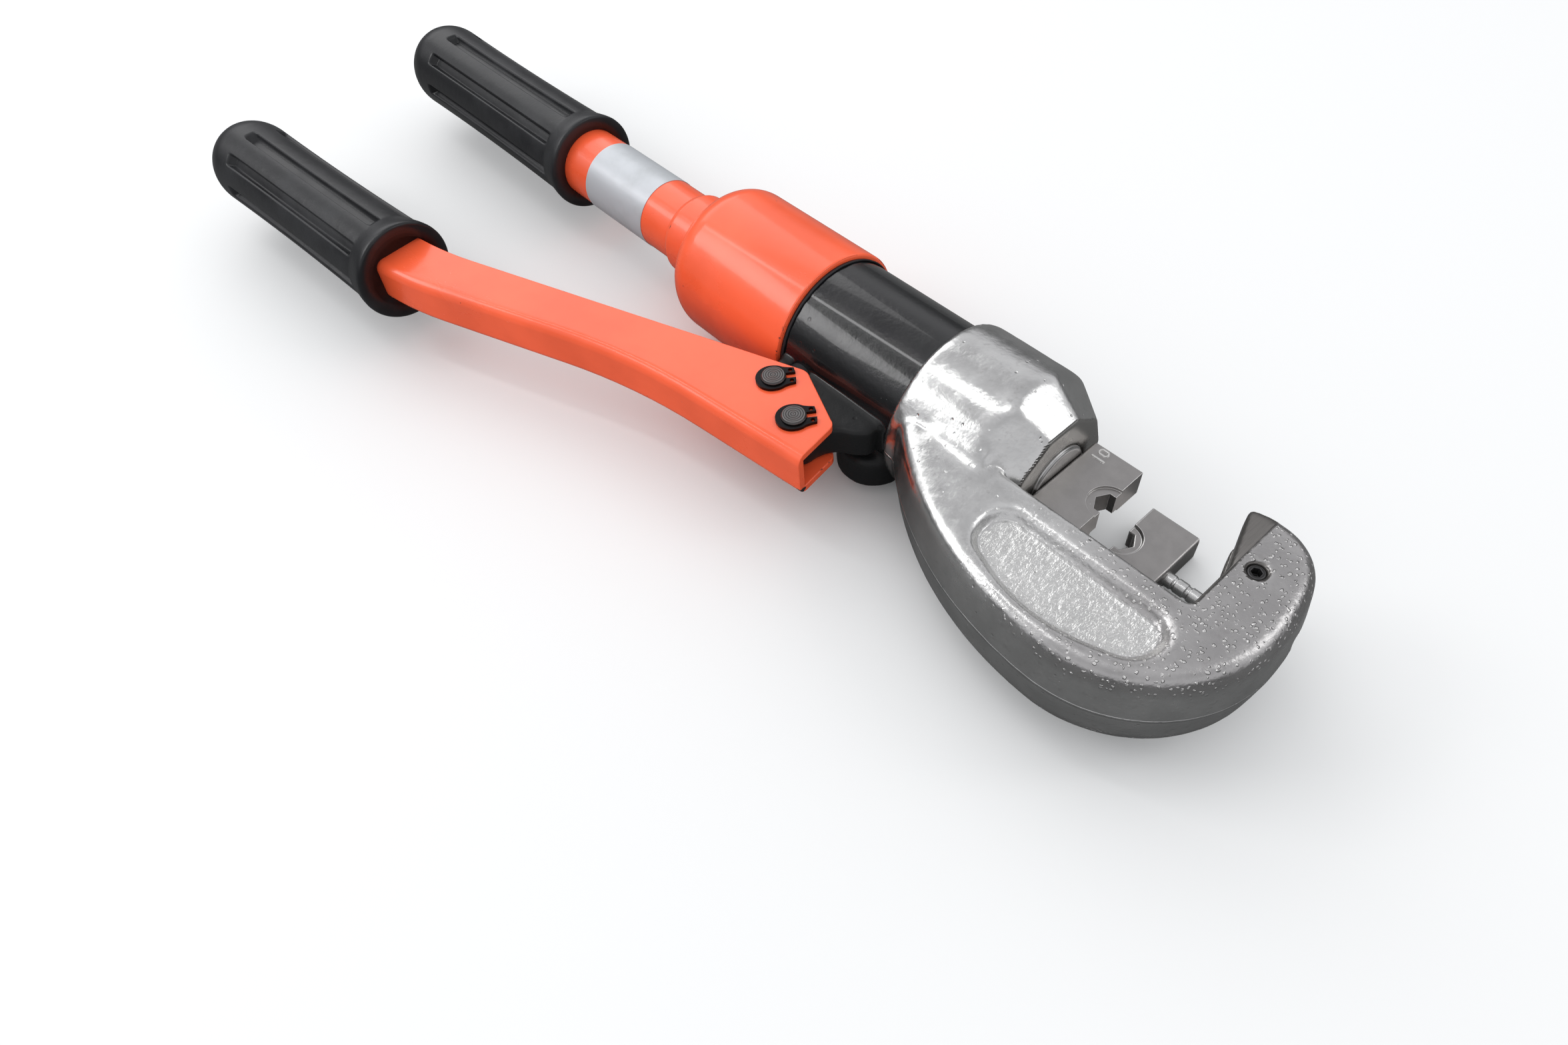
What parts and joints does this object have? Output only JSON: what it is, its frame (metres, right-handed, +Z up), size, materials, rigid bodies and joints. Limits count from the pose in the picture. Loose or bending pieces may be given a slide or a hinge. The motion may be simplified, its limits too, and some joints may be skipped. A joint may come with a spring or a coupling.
{
  "type": "hydraulic hand crimping tool",
  "caption": "Two-handled hydraulic crimping tool: C-shaped forged head with ram and half-hexagon dies, black pump cylinder, orange reservoir handle and folded lever.",
  "frame": {"origin": "mouth of the die-stem bore in the jaw, on the ram's axis", "axes": "+X along the ram towards the jaw, +Y towards the open side of the C, +Z up with the tool lying on its side; Z = 0 is the forging's parting plane"},
  "size_m": [0.43, 0.1406, 0.056],
  "materials": {
    "plated_forging": "zinc-plated forging, satin, pitted",
    "black_oxide": "black oxide, turned",
    "ball_steel": "polished",
    "black_enamel": "black gloss enamel",
    "zinc_bright": "bright zinc, turned",
    "ground_steel": "ground",
    "die_plate": "satin plated tool steel",
    "orange_paint": "vermilion gloss paint",
    "label_foil": "blank silver film",
    "black_rubber": "ribbed, satin",
    "seal_rubber": "matt"
  },
  "bodies": {
    "tool": {"c_head": "plated_forging", "jaw_grub_screw": "black_oxide", "jaw_detent_ball": "ball_steel", "cylinder": "black_enamel", "relief_plug": "zinc_bright", "plunger_seal": "seal_rubber", "shell_gasket": "seal_rubber", "oil_bladder": "seal_rubber"},
    "ram_and_die": {"ram": "ground_steel", "piston_seal": "seal_rubber", "moving_die": "die_plate", "moving_die_stem": "zinc_bright"},
    "release_handle": {"reservoir_shell": "orange_paint", "handle_tube": "orange_paint", "label_band": "label_foil", "rear_grip": "black_rubber", "release_spindle": "ground_steel"},
    "pump_lever": {"lever": "orange_paint", "lever_grip": "black_rubber", "fulcrum_pin": "black_oxide", "plunger_pin": "black_oxide", "circlips": "black_oxide"},
    "plunger": {"pump_plunger": "ground_steel"},
    "spare_half": {"loose_die": "die_plate", "loose_die_stem": "zinc_bright"}
  },
  "joints": [
    {"name": "ram_slide", "type": "slide", "parent": "tool", "child": "ram_and_die", "axis": [1, 0, 0], "range_m": [0, 0.02]},
    {"name": "lever_pump", "type": "hinge", "parent": "tool", "child": "pump_lever", "pos_m": [-0.1208, -0.0424, 0], "axis": [0, 0, 1], "range_deg": [0, 35]},
    {"name": "plunger_slide", "type": "slide", "parent": "tool", "child": "plunger", "axis": [0, 1, 0], "range_m": [-0.011, 0]},
    {"name": "release_turn", "type": "hinge", "parent": "tool", "child": "release_handle", "pos_m": [-0.15, 0, 0], "axis": [1, 0, 0], "range_deg": [0, 90]},
    {"name": "loose_half_lift", "type": "slide", "parent": "tool", "child": "spare_half", "axis": [0, 1, 0], "range_m": [0, 0.06]}
  ],
  "couplings": [
    {"joint": "plunger_slide", "follows": "lever_pump", "m_per_rad": -0.01768}
  ]
}
